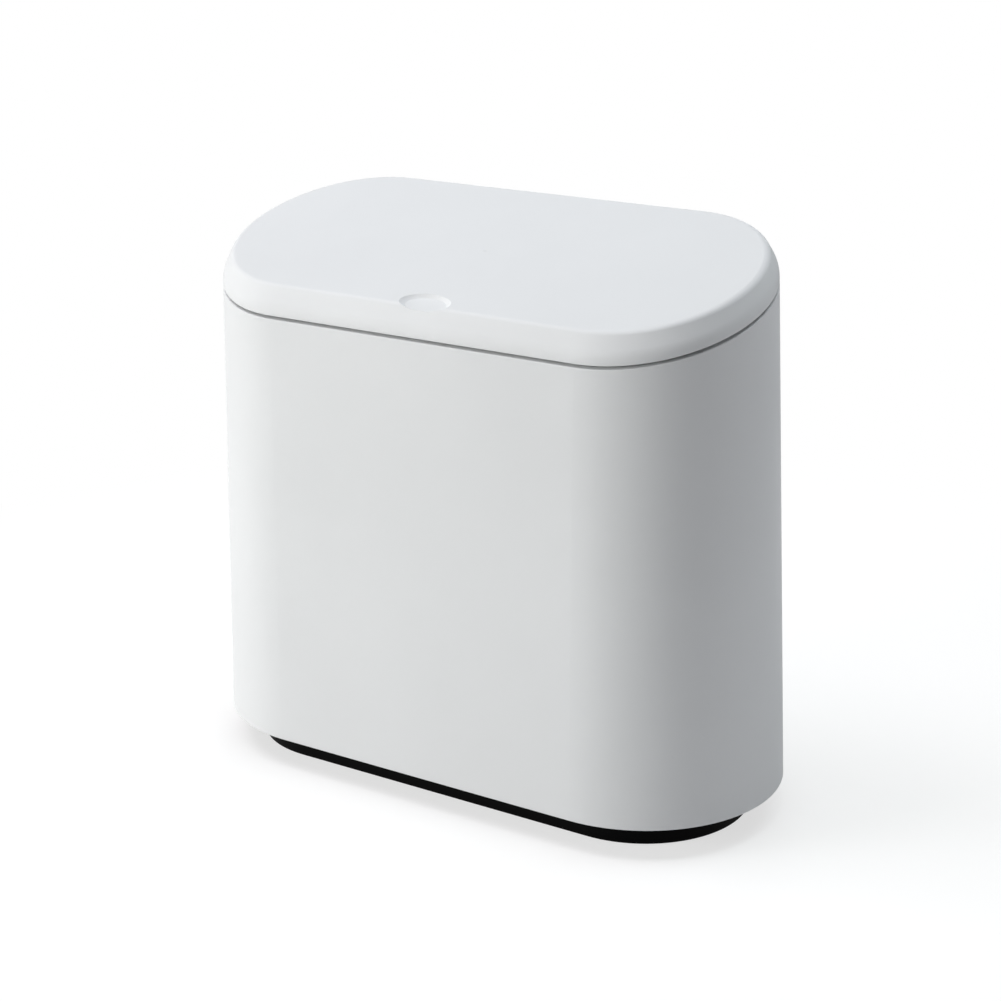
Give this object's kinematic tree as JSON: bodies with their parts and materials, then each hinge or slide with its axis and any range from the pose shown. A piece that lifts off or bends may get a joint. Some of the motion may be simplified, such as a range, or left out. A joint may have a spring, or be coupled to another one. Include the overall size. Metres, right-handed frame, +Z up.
{
  "type": "press-open waste bin",
  "caption": "Slim white waste bin with round ends, a sloping press-open lid with a finger dimple, a lift-out bucket and a set-in black base.",
  "frame": {"origin": "on the floor, under the middle of the bin", "axes": "+X along the width to the right, +Y to the hinge side at the back, +Z up"},
  "size_m": [0.2618, 0.116, 0.2394],
  "materials": {
    "white_plastic": "fine matte moulded",
    "white_inner_plastic": "satin moulded",
    "grey_bucket_plastic": "satin moulded",
    "black_plastic": "matte moulded",
    "dark_latch_plastic": "satin moulded",
    "natural_latch_plastic": "smooth moulded",
    "steel": "drawn and plated",
    "rubber": "soft matte"
  },
  "bodies": {
    "bin": {"outer_shell": "white_plastic", "base_plinth": "black_plastic", "base_screws": "steel", "foot_pad_1": "rubber", "foot_pad_2": "rubber", "foot_pad_3": "rubber", "foot_pad_4": "rubber", "mouth_frame": "white_inner_plastic", "inner_bucket": "grey_bucket_plastic", "torsion_spring_left": "steel", "torsion_spring_right": "steel", "latch_housing": "dark_latch_plastic", "latch_cap": "dark_latch_plastic", "latch_spring": "steel", "latch_screws": "steel"},
    "hinge_pin": {"hinge_pin": "steel", "pin_retainer": "steel"},
    "lid": {"lid_cover": "white_plastic", "lid_liner": "white_inner_plastic", "liner_screws": "steel", "lid_bumpers": "rubber", "latch_striker": "white_inner_plastic", "striker_screws": "steel"},
    "latch_slider": {"latch_slider": "natural_latch_plastic", "latch_claws": "natural_latch_plastic"}
  },
  "joints": [
    {"name": "lid_press", "type": "hinge", "parent": "bin", "child": "hinge_pin", "pos_m": [0, 0.04739, 0.21278], "axis": [-1, 0, 0], "range_deg": [-0.55, 0], "stiffness_Nm_per_rad": 6, "springref_deg": 3.44},
    {"name": "lid_open", "type": "hinge", "parent": "hinge_pin", "child": "lid", "pos_m": [0, 0.04739, 0.21278], "axis": [-1, 0, 0], "range_deg": [0, 95], "deforming": ["torsion_spring_left", "torsion_spring_right", "latch_claws"]},
    {"name": "latch_slide", "type": "slide", "parent": "bin", "child": "latch_slider", "axis": [0, 0, 1], "range_m": [-0.000871, 0], "deforming": ["latch_spring"]}
  ],
  "couplings": [
    {"joint": "latch_slide", "follows": "lid_press", "m_per_rad": 0.09069}
  ]
}
